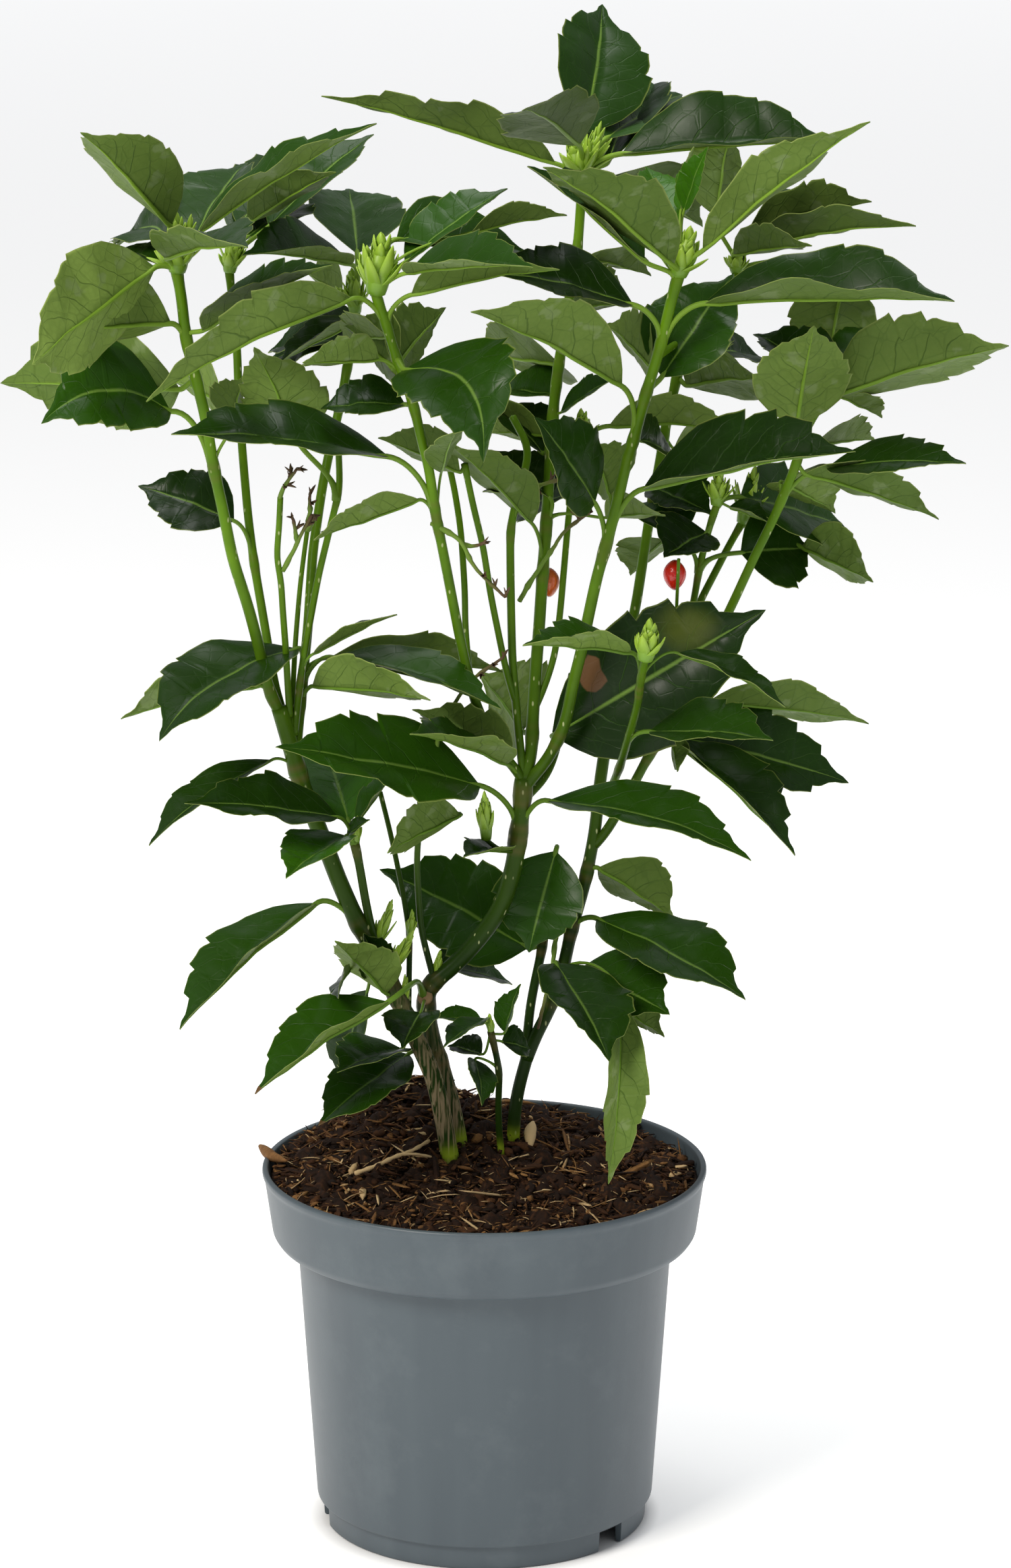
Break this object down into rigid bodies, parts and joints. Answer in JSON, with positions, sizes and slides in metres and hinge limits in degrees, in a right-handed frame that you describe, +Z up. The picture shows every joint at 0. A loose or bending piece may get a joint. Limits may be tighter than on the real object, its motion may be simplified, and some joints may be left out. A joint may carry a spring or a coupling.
{
  "type": "potted aucuba",
  "caption": "Bushy evergreen shrub with toothed glossy leaves, green buds and ripe berries, rooted in a filled round plastic nursery pot with a flared rim band.",
  "frame": {"origin": "centre of the pot's foot, on the surface that the pot stands on", "axes": "+Z up along the pot's axis; -Y is the side seen in the picture; +X is to the viewer's right"},
  "size_m": [0.4146, 0.2805, 0.6413],
  "materials": {
    "blue_grey_plastic": "satin",
    "potting_soil": "rough",
    "leaf_and_stem_green": "glossy",
    "berry_red": "glossy",
    "berry_orange": "glossy"
  },
  "bodies": {
    "root": {"pot": "blue_grey_plastic", "soil": "potting_soil", "plant_left": "leaf_and_stem_green", "plant_middle": "leaf_and_stem_green", "plant_right": "leaf_and_stem_green", "young_shoot": "leaf_and_stem_green", "berry_red": "berry_red", "berry_orange": "berry_orange"}
  },
  "joints": []
}
